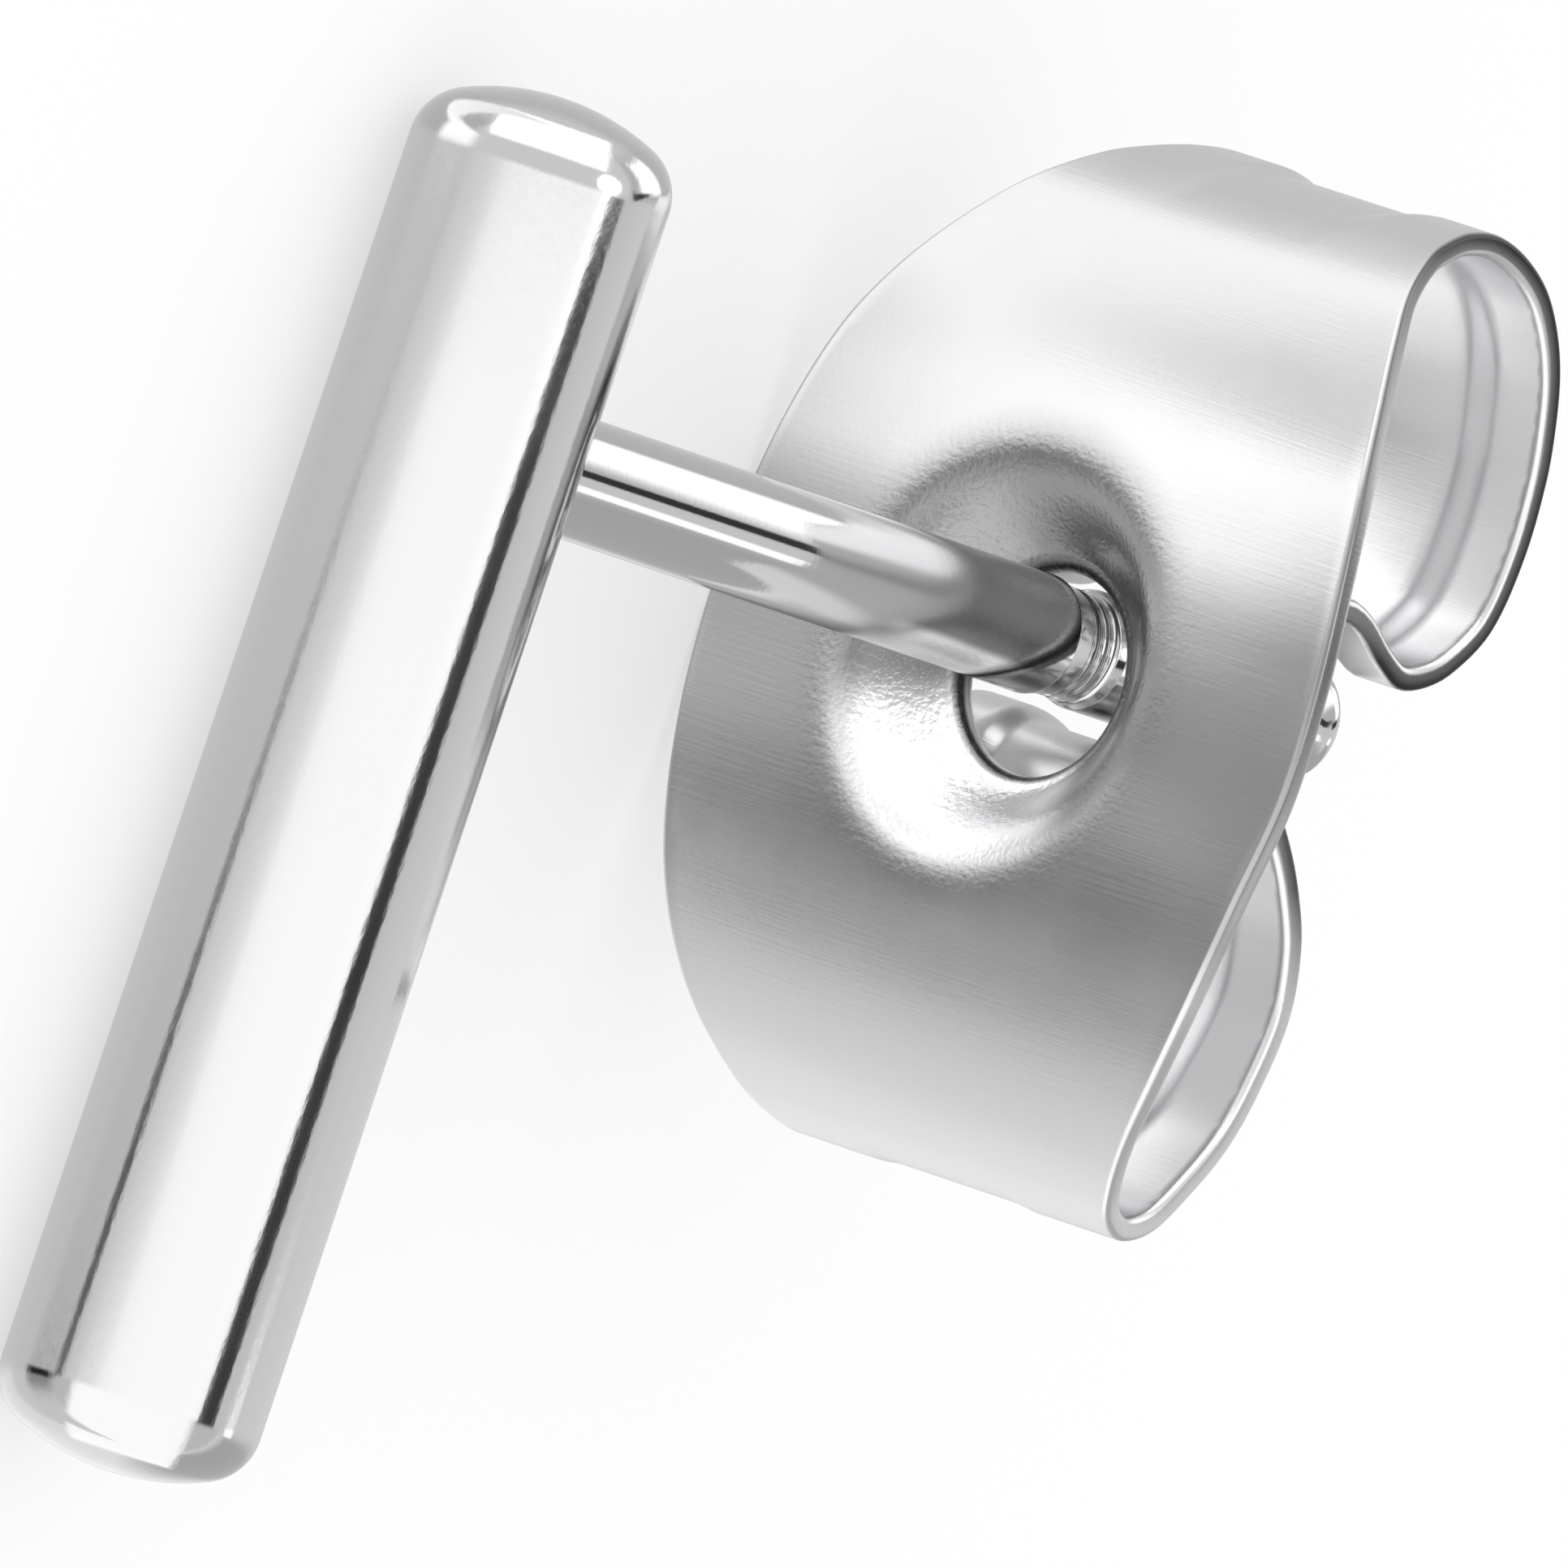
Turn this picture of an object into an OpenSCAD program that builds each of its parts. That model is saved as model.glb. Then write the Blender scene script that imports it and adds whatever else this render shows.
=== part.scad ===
// Bar earring: a round bar welded to a thin post, with a butterfly clutch bent from one sheet.
// Millimetres. The earring lies on its side as it rests unworn, on the plane z = 0.
// Each piece is drawn with the bar along x, the post along +y and the sheet's width along z,
// then laid over onto the floor.

/* [Bar] */
// Diameter of the bar
bar_diameter = 1.7; // [1.2:0.05:2.4]
// Length of the bar over its rounded ends
bar_length = 9.03; // [7:0.01:12]
// From the post's axis to the nearer end of the bar
short_reach = 2.225; // [1.5:0.005:4]
// How far each rounded end stands out beyond the straight part
end_length = 0.48; // [0.4:0.01:0.7]
// Radius where the rounded end meets the straight side
end_corner = 0.38; // [0.3:0.01:0.39]

/* [Post] */
// Diameter of the post
post_diameter = 0.8; // [0.7:0.01:0.9]
// From the bar's axis to the tip of the post
post_reach = 8.37; // [7.5:0.01:9]
// Rounding of the post's tip
tip_rounding = 0.15; // [0.05:0.01:0.3]
// From the bar's axis to the near end of the friction notch
notch_start = 5.68; // [5.4:0.01:7]
// Length of the friction notch along the post
notch_length = 0.54; // [0.3:0.01:0.8]
// Depth of the notch's shallow hollow
notch_depth = 0.045; // [0.02:0.005:0.08]
// Number of fine rings cut into the notch
ring_count = 3; // [1:5]
// Spacing of the rings
ring_pitch = 0.08; // [0.06:0.01:0.2]
// Radius of each ring's round bottom
ring_radius = 0.05; // [0.04:0.01:0.1]
// Depth of each ring below the post's surface
ring_depth = 0.06; // [0.04:0.005:0.1]

/* [Clutch] */
// Thickness of the clutch's sheet
sheet = 0.16; // [0.15:0.01:0.25]
// Radius of the hole in the plate
hole_radius = 0.66; // [0.6:0.005:0.9]
// Height of the hole's centre above the middle of the clutch
hole_rise = -0.21; // [-0.4:0.01:0.4]
// Outer radius of the round dimple about the hole
dimple_radius = 1.6; // [1.1:0.01:1.7]
// Radius of the dimple's level floor
dimple_floor = 0.7; // [0.6:0.01:0.9]
// Depth of that floor
dimple_depth = 0.52; // [0.2:0.01:0.6]
// How strongly the dimple's slope gathers towards the hole; 1 is even
dimple_flare = 1.7; // [1:0.1:2]
// Half the width of the lengthwise groove pressed into each tab
groove_reach = 0.74; // [0.6:0.01:0.9]
// How much of that half width each sloping side of the groove takes
groove_flank = 0.24; // [0.1:0.01:0.4]
// How far the clutch hangs below the post's axis
clutch_drop = 0.01; // [0:0.005:0.03]

/* [Hidden] */
$fn = 96;

bar_radius = bar_diameter / 2;
post_radius = post_diameter / 2;
notch_middle = notch_start + notch_length / 2;
notch_radius = (pow(notch_length / 2, 2) + pow(notch_depth, 2)) / (2 * notch_depth);
straight = bar_length - 2 * end_length;
// The cap is a shallow sphere that runs on smoothly from the round corner.
corner_middle = bar_radius - end_corner;
cap_sink = (pow(corner_middle, 2) - pow(end_length - end_corner, 2)) / (2 * (end_length - end_corner));
cap_radius = cap_sink + end_length;
cap_reach = cap_radius * corner_middle / (cap_radius - end_corner);

// Outer face of the bent sheet, from the upper tab's free end round the upper loop,
// down the plate and round the lower loop to the lower tab's free end.
// Each row: out along the post, up along the bar, half the sheet's width,
// how far the sheet's edges stand back from its middle, and how deep the groove is.
OUT = 0;
UP = 1;
HALF = 2;
BACK = 3;
PRESS = 4;
stations = [
  [6.20, 0.84, 1.10, 0, 0.08],
  [6.25, 0.58, 1.10, 0, 0.08],
  [6.40, 0.42, 1.10, 0, 0.08],
  [6.63, 0.38, 1.11, 0, 0.08],
  [6.86, 0.43, 1.11, 0, 0.08],
  [7.03, 0.58, 1.12, 0, 0.08],
  [7.19, 0.69, 1.12, 0, 0.08],
  [7.38, 0.66, 1.12, 0, 0.08],
  [7.65, 0.50, 1.12, 0, 0.09],
  [7.90, 0.40, 1.12, 0, 0.09],
  [8.13, 0.45, 1.12, 0, 0.09],
  [8.35, 0.60, 1.12, 0, 0.09],
  [8.58, 0.93, 1.12, 0, 0.09],
  [8.66, 1.43, 1.12, 0, 0.09],
  [8.63, 1.94, 1.12, 0, 0.09],
  [8.54, 2.29, 1.13, 0, 0.09],
  [8.42, 2.62, 1.13, 0, 0.09],
  [8.24, 2.89, 1.14, 0, 0.08],
  [8.01, 3.11, 1.15, 0, 0.07],
  [7.71, 3.26, 1.16, 0, 0.06],
  [7.40, 3.32, 1.18, 0, 0.05],
  [7.06, 3.28, 1.25, 0, 0.04],
  [6.76, 3.18, 1.36, 0, 0.03],
  [6.50, 3.05, 1.48, 0.01, 0.01],
  [6.19, 2.78, 1.68, 0.03, 0],
  [5.97, 2.44, 1.90, 0.06, 0],
  [5.77, 2.00, 2.14, 0.10, 0],
  [5.63, 1.52, 2.33, 0.13, 0],
  [5.56, 0.90, 2.48, 0.16, 0],
  [5.54, 0.20, 2.58, 0.18, 0],
  [5.54, -0.50, 2.60, 0.18, 0],
  [5.52, -1.20, 2.51, 0.13, 0],
  [5.57, -1.92, 2.36, 0.09, 0],
  [5.68, -2.43, 2.18, 0.07, 0],
  [5.88, -2.89, 1.94, 0.04, 0],
  [6.19, -3.25, 1.69, 0.02, 0],
  [6.44, -3.40, 1.55, 0, 0.01],
  [6.71, -3.455, 1.46, 0, 0.02],
  [7.01, -3.35, 1.40, 0, 0.03],
  [7.31, -3.07, 1.33, 0, 0.05],
  [7.60, -2.70, 1.26, 0, 0.07],
  [7.76, -2.30, 1.22, 0, 0.09],
  [7.86, -1.78, 1.18, 0, 0.09],
  [7.77, -1.32, 1.16, 0, 0.09],
  [7.58, -0.97, 1.14, 0, 0.09],
  [7.37, -0.70, 1.12, 0, 0.09],
  [7.15, -0.52, 1.12, 0, 0.09],
  [6.85, -0.43, 1.11, 0, 0.08],
  [6.55, -0.44, 1.11, 0, 0.08],
  [6.35, -0.56, 1.10, 0, 0.08],
  [6.24, -0.76, 1.10, 0, 0.08],
  [6.20, -1.06, 1.10, 0, 0.08],
];
last = len(stations) - 1;
widest = stations[30];

// Steps along and across the sheet: finer where the dimple is.
step_along = 0.27;
step_in_dimple = 0.15;
columns_inside = 20;
columns_outside = 4;
inside_part = 0.66;
// Half width above which the sheet is the plate and not a tab.
plate_half = 1.8;
// The stretch along the post that the hole is cut through, which ends before the tabs' free ends.
cut_start = 5;
cut_length = 1.15;

// The lean that brings the bar's side and the plate's edge down onto the floor together.
lean = atan2(widest[HALF], widest[OUT]) - asin(bar_radius / norm([widest[HALF], widest[OUT]]));

function clamp01(q) = min(max(q, 0), 1);
function ease(q) = q * q * (3 - 2 * q);
function gap(i) = norm([stations[i + 1][OUT] - stations[i][OUT], stations[i + 1][UP] - stations[i][UP]]);
function slope(i) =
  i == 0 ? (stations[1] - stations[0]) / gap(0)
  : i == last ? (stations[last] - stations[last - 1]) / gap(last - 1)
  : (stations[i + 1] - stations[i - 1]) / (gap(i) + gap(i - 1));
// Cubic curve through the stations, a fraction q of the way from row i to the next.
function between(i, q) =
  stations[i] * (2 * pow(q, 3) - 3 * pow(q, 2) + 1)
  + slope(i) * gap(i) * (pow(q, 3) - 2 * pow(q, 2) + q)
  + stations[i + 1] * (3 * pow(q, 2) - 2 * pow(q, 3))
  + slope(i + 1) * gap(i) * (pow(q, 3) - pow(q, 2));
function in_dimple(i) =
  stations[i][HALF] > plate_half && min(
    abs(stations[i][UP] - hole_rise), abs(stations[i + 1][UP] - hole_rise)
  ) < dimple_radius;
function steps(i) = ceil(gap(i) / (in_dimple(i) ? step_in_dimple : step_along));
rows = [
  for (i = [0:last - 1]) for (k = [0:steps(i) - 1]) between(i, k / steps(i)),
  stations[last],
];
row_count = len(rows);

// The way the sheet's outer face looks, square to its path.
function outward(i) =
  let (
    a = rows[max(i - 1, 0)],
    b = rows[min(i + 1, row_count - 1)],
    run = [b[OUT] - a[OUT], b[UP] - a[UP]]
  ) [run[1], -run[0]] / norm(run);

across = [
  for (k = [0:columns_outside - 1]) -1 + (1 - inside_part) * k / columns_outside,
  for (k = [0:columns_inside]) inside_part * (2 * k / columns_inside - 1),
  for (k = [1:columns_outside]) inside_part + (1 - inside_part) * k / columns_outside,
];
column_count = len(across);

function sink(up, side) =
  let (r = norm([up - hole_rise, side]))
  dimple_depth * ease(pow(clamp01((dimple_radius - r) / (dimple_radius - dimple_floor)), dimple_flare));
// A point of the sheet at row i and fraction v of its half width; deep is measured inwards.
function sheet_point(i, v, deep) =
  let (
    row = rows[i],
    face = outward(i),
    side = row[HALF] * v,
    crown = row[BACK] * (1 - v * v),
    groove = row[PRESS] * ease(clamp01((groove_reach - abs(side)) / groove_flank)),
    shift = crown - groove - deep,
    out = row[OUT] + face[0] * shift,
    up = row[UP] + face[1] * shift,
    plate = row[HALF] > plate_half ? 1 : 0
  ) [-up, out + plate * sink(row[UP] + face[1] * (crown - groove), side), side];

// The middle of the earring's outline on the floor, which becomes x = 0, y = 0.
head_end = max([for (row = rows) row[UP]]) - clutch_drop;
loop_end = max([for (row = rows) row[OUT] * cos(lean) + row[HALF] * sin(lean)]);
middle_x = (bar_length - short_reach - head_end) / 2;
middle_y = (loop_end - bar_radius) / 2;

module laid_down() {
  translate([-middle_x, -middle_y, bar_radius])
    rotate([lean, 0, 0])
      children();
}

module bar_profile_end() {
  translate([corner_middle, 0])
    circle(r = end_corner);
  intersection() {
    translate([0, -cap_sink])
      circle(r = cap_radius);
    square([cap_reach, end_length]);
  }
}

module bar_profile() {
  intersection() {
    union() {
      square([bar_radius, straight]);
      translate([0, straight])
        bar_profile_end();
      mirror([0, 1])
        bar_profile_end();
    }
    translate([0, -end_length])
      square([bar_radius, bar_length]);
  }
}

// A groove round the post, cut by a circle of the given radius.
module round_groove(radius, depth) {
  rotate_extrude()
    translate([post_radius - depth + radius, 0])
      circle(r = radius);
}

module post_body() {
  rotate([-90, 0, 0])
    difference() {
      union() {
        cylinder(r = post_radius, h = post_reach - tip_rounding);
        cylinder(r = post_radius - tip_rounding, h = post_reach);
        translate([0, 0, post_reach - tip_rounding])
          rotate_extrude()
            translate([post_radius - tip_rounding, 0])
              circle(r = tip_rounding);
      }
      translate([0, 0, notch_middle])
        round_groove(notch_radius, notch_depth);
      for (k = [1:ring_count])
        translate([0, 0, notch_middle + ring_pitch * (k - ring_count / 2)])
          round_groove(ring_radius, ring_depth);
    }
}

module bar_with_post() {
  color([0.8, 0.8, 0.81])
    laid_down() {
      translate([end_length - short_reach, 0, 0])
        rotate([0, 90, 0])
          rotate_extrude()
            bar_profile();
      post_body();
    }
}

module bent_sheet() {
  outer = [for (i = [0:row_count - 1]) for (v = across) sheet_point(i, v, 0)];
  inner = [for (i = [0:row_count - 1]) for (v = across) sheet_point(i, v, sheet)];
  n = column_count;
  half = row_count * n;
  end = (row_count - 1) * n;
  polyhedron(
    points = concat(outer, inner),
    faces = [
      for (i = [0:row_count - 2]) for (k = [0:n - 2]) let (a = i * n + k) each [
        [a, a + n, a + 1],
        [a + 1, a + n, a + n + 1],
        [half + a, half + a + 1, half + a + n],
        [half + a + 1, half + a + n + 1, half + a + n],
      ],
      for (i = [0:row_count - 2]) let (a = i * n, b = a + n - 1) each [
        [a, half + a, a + n],
        [half + a, half + a + n, a + n],
        [b, b + n, half + b],
        [half + b, b + n, half + b + n],
      ],
      for (k = [0:n - 2]) let (a = k, b = end + k) each [
        [a, a + 1, half + a],
        [a + 1, half + a + 1, half + a],
        [b, half + b, b + 1],
        [b + 1, half + b, half + b + 1],
      ],
    ]
  );
}

module butterfly_clutch() {
  color([0.7, 0.7, 0.7])
    laid_down()
      translate([clutch_drop, 0, 0])
        difference() {
          bent_sheet();
          translate([-hole_rise, cut_start, 0])
            rotate([-90, 0, 0])
              cylinder(r = hole_radius, h = cut_length);
        }
}

bar_with_post();
butterfly_clutch();
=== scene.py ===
"""Bar earring: a polished round bar on a thin post, with a satin butterfly clutch, lying on a pale floor."""

import math

import bmesh
import bpy
import numpy as np
from mathutils import Matrix, Vector


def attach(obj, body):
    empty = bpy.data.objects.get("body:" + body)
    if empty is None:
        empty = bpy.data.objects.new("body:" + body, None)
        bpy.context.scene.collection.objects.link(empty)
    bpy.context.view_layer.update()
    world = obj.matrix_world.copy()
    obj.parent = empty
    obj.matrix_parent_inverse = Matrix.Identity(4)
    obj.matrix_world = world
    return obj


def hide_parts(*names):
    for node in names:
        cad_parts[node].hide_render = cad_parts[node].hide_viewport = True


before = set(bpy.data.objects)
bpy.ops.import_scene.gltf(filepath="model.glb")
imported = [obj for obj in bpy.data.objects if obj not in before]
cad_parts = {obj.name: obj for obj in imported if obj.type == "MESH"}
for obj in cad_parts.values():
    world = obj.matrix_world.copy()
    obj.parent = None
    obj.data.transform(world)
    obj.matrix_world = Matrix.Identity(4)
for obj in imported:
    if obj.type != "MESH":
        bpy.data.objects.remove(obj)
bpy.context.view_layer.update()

MM = 0.001

# Sizes in millimetres, as in the construction.
BAR_RADIUS = 0.85
BAR_LENGTH = 9.03
SHORT_REACH = 2.225
END_LENGTH = 0.48
END_CORNER = 0.38
POST_RADIUS = 0.4
POST_REACH = 8.37
TIP_ROUNDING = 0.15
NOTCH_START = 5.68
NOTCH_LENGTH = 0.54
NOTCH_DEPTH = 0.045
RING_COUNT = 3
RING_PITCH = 0.08
RING_RADIUS = 0.05
RING_DEPTH = 0.06
SHEET = 0.16
HOLE_RADIUS = 0.66
HOLE_RISE = -0.21
DIMPLE_RADIUS = 1.6
DIMPLE_FLOOR = 0.7
DIMPLE_DEPTH = 0.52
DIMPLE_FLARE = 1.7
GROOVE_REACH = 0.74
GROOVE_FLANK = 0.24
CLUTCH_DROP = 0.01
PLATE_HALF = 1.8

# Outer face of the bent sheet, from the upper tab's free end round to the lower tab's:
# out along the post, up along the bar, half the width, how far the edges stand back,
# and how deep the lengthwise groove is.
OUT, UP, HALF, BACK, PRESS = range(5)
STATIONS = np.array([
    [6.20, 0.84, 1.10, 0, 0.08],
    [6.25, 0.58, 1.10, 0, 0.08],
    [6.40, 0.42, 1.10, 0, 0.08],
    [6.63, 0.38, 1.11, 0, 0.08],
    [6.86, 0.43, 1.11, 0, 0.08],
    [7.03, 0.58, 1.12, 0, 0.08],
    [7.19, 0.69, 1.12, 0, 0.08],
    [7.38, 0.66, 1.12, 0, 0.08],
    [7.65, 0.50, 1.12, 0, 0.09],
    [7.90, 0.40, 1.12, 0, 0.09],
    [8.13, 0.45, 1.12, 0, 0.09],
    [8.35, 0.60, 1.12, 0, 0.09],
    [8.58, 0.93, 1.12, 0, 0.09],
    [8.66, 1.43, 1.12, 0, 0.09],
    [8.63, 1.94, 1.12, 0, 0.09],
    [8.54, 2.29, 1.13, 0, 0.09],
    [8.42, 2.62, 1.13, 0, 0.09],
    [8.24, 2.89, 1.14, 0, 0.08],
    [8.01, 3.11, 1.15, 0, 0.07],
    [7.71, 3.26, 1.16, 0, 0.06],
    [7.40, 3.32, 1.18, 0, 0.05],
    [7.06, 3.28, 1.25, 0, 0.04],
    [6.76, 3.18, 1.36, 0, 0.03],
    [6.50, 3.05, 1.48, 0.01, 0.01],
    [6.19, 2.78, 1.68, 0.03, 0],
    [5.97, 2.44, 1.90, 0.06, 0],
    [5.77, 2.00, 2.14, 0.10, 0],
    [5.63, 1.52, 2.33, 0.13, 0],
    [5.56, 0.90, 2.48, 0.16, 0],
    [5.54, 0.20, 2.58, 0.18, 0],
    [5.54, -0.50, 2.60, 0.18, 0],
    [5.52, -1.20, 2.51, 0.13, 0],
    [5.57, -1.92, 2.36, 0.09, 0],
    [5.68, -2.43, 2.18, 0.07, 0],
    [5.88, -2.89, 1.94, 0.04, 0],
    [6.19, -3.25, 1.69, 0.02, 0],
    [6.44, -3.40, 1.55, 0, 0.01],
    [6.71, -3.455, 1.46, 0, 0.02],
    [7.01, -3.35, 1.40, 0, 0.03],
    [7.31, -3.07, 1.33, 0, 0.05],
    [7.60, -2.70, 1.26, 0, 0.07],
    [7.76, -2.30, 1.22, 0, 0.09],
    [7.86, -1.78, 1.18, 0, 0.09],
    [7.77, -1.32, 1.16, 0, 0.09],
    [7.58, -0.97, 1.14, 0, 0.09],
    [7.37, -0.70, 1.12, 0, 0.09],
    [7.15, -0.52, 1.12, 0, 0.09],
    [6.85, -0.43, 1.11, 0, 0.08],
    [6.55, -0.44, 1.11, 0, 0.08],
    [6.35, -0.56, 1.10, 0, 0.08],
    [6.24, -0.76, 1.10, 0, 0.08],
    [6.20, -1.06, 1.10, 0, 0.08],
])
# Rows of that table: the widest one, and the two that the spokes round the hole reach to.
WIDEST = 30
WINDOW_TOP = 27
WINDOW_BOTTOM = 32
LAST = len(STATIONS) - 1

# How the earring lies: it leans until the bar's side and the plate's edge both meet the floor.
LEAN = math.atan2(STATIONS[WIDEST, HALF], STATIONS[WIDEST, OUT]) - math.asin(
    BAR_RADIUS / math.hypot(STATIONS[WIDEST, HALF], STATIONS[WIDEST, OUT])
)
ACROSS_FLOOR = np.array([1.0, 0.0, 0.0])
POST_WAY = np.array([0.0, math.cos(LEAN), math.sin(LEAN)])
SHEET_WAY = np.array([0.0, -math.sin(LEAN), math.cos(LEAN)])
# Where the bar's middle line and the post's cross.
CROSSING = np.array([-1.7475, -3.8775, BAR_RADIUS])


def laid_down(points):
    """Points along the bar, along the post and across the sheet, turned by the lean and set on the floor."""
    axes = np.stack([ACROSS_FLOOR, POST_WAY, SHEET_WAY])
    return points @ axes + CROSSING


# The photograph's view: the post points away to the right and the bar leans right of upright.
VIEW_TURN = math.radians(42.4)
VIEW_ROLL = math.radians(18.44)
PHOTO_SIDE = 1932
PIXELS_PER_MM = 196
CROSSING_PIXEL = (559.2, 540.8)
CAMERA_LENS = 1500.0
SENSOR = 36.0
FORWARD = math.cos(VIEW_TURN) * POST_WAY - math.sin(VIEW_TURN) * SHEET_WAY
SIDEWAYS = math.sin(VIEW_TURN) * POST_WAY + math.cos(VIEW_TURN) * SHEET_WAY
BARWARD = -ACROSS_FLOOR
RIGHT = math.cos(VIEW_ROLL) * SIDEWAYS + math.sin(VIEW_ROLL) * BARWARD
TOP = math.cos(VIEW_ROLL) * BARWARD - math.sin(VIEW_ROLL) * SIDEWAYS
# The framing is exact at this depth behind the crossing.
VIEW_DEPTH = 2.9
# The nearest and furthest that the camera sees, in metres.
CLIP_NEAR = 0.01
CLIP_FAR = 10.0


def make_camera():
    """A long lens on the photograph's line of sight, framed by the pixel where the bar and post cross."""
    middle = PHOTO_SIDE / 2
    aim = CROSSING + FORWARD * VIEW_DEPTH
    aim = aim + RIGHT * (middle - CROSSING_PIXEL[0]) / PIXELS_PER_MM
    aim = aim - TOP * (middle - CROSSING_PIXEL[1]) / PIXELS_PER_MM
    width = PHOTO_SIDE / PIXELS_PER_MM
    distance = width * CAMERA_LENS / SENSOR
    data = bpy.data.cameras.new("camera")
    data.lens = CAMERA_LENS
    data.sensor_width = SENSOR
    data.clip_start = CLIP_NEAR
    data.clip_end = CLIP_FAR
    camera = bpy.data.objects.new("camera", data)
    bpy.context.scene.collection.objects.link(camera)
    place = (aim - FORWARD * distance) * MM
    turn = np.stack([RIGHT, TOP, -FORWARD], axis=1)
    camera.matrix_world = Matrix.Translation(Vector(place)) @ Matrix(turn.tolist()).to_4x4()
    bpy.context.scene.camera = camera


def ease(share):
    """Smooth step: three squares less two cubes of a share held between 0 and 1."""
    held = np.clip(share, 0, 1)
    return held * held * (3 - 2 * held)


def window(value, low, high, soft):
    """1 between low and high, falling to 0 over the soft margin about each."""
    return ease((value - low) / soft + 0.5) * (1 - ease((value - high) / soft + 0.5))


def toward(level, goal, share):
    """The level moved towards a goal by a share."""
    return level + (goal - level) * share


def arc(middle, radius, start, stop, steps):
    """Points on a circle about middle, from start to stop degrees, as (radius, along) pairs."""
    angle = np.radians(np.linspace(start, stop, steps + 1))
    return np.stack([middle[0] + radius * np.cos(angle), middle[1] + radius * np.sin(angle)], axis=1)


def turned(profile, steps):
    """A profile of (radius, along) pairs turned round its axis: radius times cosine and sine of the turn."""
    turn = np.linspace(0, 2 * math.pi, steps + 1)
    radius = profile[:, :1]
    along = np.broadcast_to(profile[:, 1:], (len(profile), steps + 1))
    return np.stack([along, radius * np.cos(turn), radius * np.sin(turn)], axis=-1)


# Points that lie closer together than this, in metres, become one point.
WELD_GAP = 1e-6


def welded(name, patches, extra=None):
    """One closed mesh from grids of points that share their borders, with faces made to look outwards."""
    points = np.concatenate([patch.reshape(-1, 3) for patch in patches])
    faces = []
    first = 0
    for patch in patches:
        rows, columns = patch.shape[:2]
        corner = first + np.arange(rows - 1)[:, None] * columns + np.arange(columns - 1)
        quads = np.stack([corner, corner + 1, corner + columns + 1, corner + columns], axis=-1)
        faces.append(quads.reshape(-1, 4))
        first += rows * columns
    mesh = bpy.data.meshes.new(name)
    mesh.from_pydata((laid_down(points) * MM).tolist(), [], np.concatenate(faces).tolist())
    for label, values in (extra or {}).items():
        width = values.shape[-1]
        kind = "FLOAT" if width == 1 else "FLOAT_VECTOR"
        field = "value" if width == 1 else "vector"
        mesh.attributes.new(label, kind, "POINT").data.foreach_set(field, values.astype(np.float32).ravel())
    work = bmesh.new()
    work.from_mesh(mesh)
    bmesh.ops.remove_doubles(work, verts=work.verts, dist=WELD_GAP)
    bmesh.ops.recalc_face_normals(work, faces=work.faces)
    work.to_mesh(mesh)
    work.free()
    mesh.polygons.foreach_set("use_smooth", [True] * len(mesh.polygons))
    piece = bpy.data.objects.new(name, mesh)
    bpy.context.scene.collection.objects.link(piece)
    return piece


# How finely the bar and the post are divided: round their axis, round their corners and along them.
BAR_TURNS = 192
POST_TURNS = 128
CORNER_STEPS = 14
CAP_STEPS = 12
TIP_STEPS = 8
SIDE_RINGS = 33
SHAFT_POINTS = 20
NOTCH_POINTS = 96
NECK_POINTS = 12
# Where the post's closed foot is hidden in the bar, and how far past the notch its points stay close.
POST_FOOT = 0.3
NOTCH_MARGIN = 0.02


def round_bar():
    """The bar: a straight side, a round corner and a shallow cap at each end, turned about its axis."""
    straight = BAR_LENGTH - 2 * END_LENGTH
    corner_middle = BAR_RADIUS - END_CORNER
    rise = END_LENGTH - END_CORNER
    cap_sink = (corner_middle ** 2 - rise ** 2) / (2 * rise)
    cap_radius = cap_sink + END_LENGTH
    meeting = math.degrees(math.atan2(cap_sink, corner_middle))
    end = np.concatenate([
        arc((corner_middle, 0), END_CORNER, 0, meeting, CORNER_STEPS),
        arc((0, -cap_sink), cap_radius, meeting, 90, CAP_STEPS)[1:],
    ])
    rings = straight * (1 - np.cos(np.linspace(0, math.pi, SIDE_RINGS)[1:-1])) / 2
    side = np.stack([np.full(len(rings), BAR_RADIUS), rings], axis=1)
    far = end + [0, straight]
    near = end[::-1] * [1, -1]
    profile = np.concatenate([near, side, far]) + [0, END_LENGTH - SHORT_REACH]
    return welded("round_bar", [turned(profile, BAR_TURNS)])


def post_profile():
    """Radius along the post: straight, less the notch's hollow and its fine rings, then a rounded tip."""
    notch_stop = NOTCH_START + NOTCH_LENGTH
    notch_middle = NOTCH_START + NOTCH_LENGTH / 2
    hollow_radius = ((NOTCH_LENGTH / 2) ** 2 + NOTCH_DEPTH ** 2) / (2 * NOTCH_DEPTH)
    along = np.concatenate([
        np.linspace(POST_FOOT, NOTCH_START - 2 * NOTCH_MARGIN, SHAFT_POINTS),
        np.linspace(NOTCH_START - NOTCH_MARGIN, notch_stop + 2 * NOTCH_MARGIN, NOTCH_POINTS),
        np.linspace(notch_stop + 4 * NOTCH_MARGIN, POST_REACH - TIP_ROUNDING, NECK_POINTS),
    ])

    def cut(middle, radius, depth):
        inside = np.maximum(radius ** 2 - (along - middle) ** 2, 0)
        return POST_RADIUS - depth + radius - np.sqrt(inside)

    radii = np.minimum(POST_RADIUS, cut(notch_middle, hollow_radius, NOTCH_DEPTH))
    for ring in range(1, RING_COUNT + 1):
        middle = notch_middle + RING_PITCH * (ring - RING_COUNT / 2)
        radii = np.minimum(radii, cut(middle, RING_RADIUS, RING_DEPTH))
    tip = arc((POST_RADIUS - TIP_ROUNDING, POST_REACH - TIP_ROUNDING), TIP_ROUNDING, 0, 90, TIP_STEPS)[1:]
    return np.concatenate([[[0, POST_FOOT]], np.stack([radii, along], axis=1), tip, [[0, POST_REACH]]])


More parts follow.
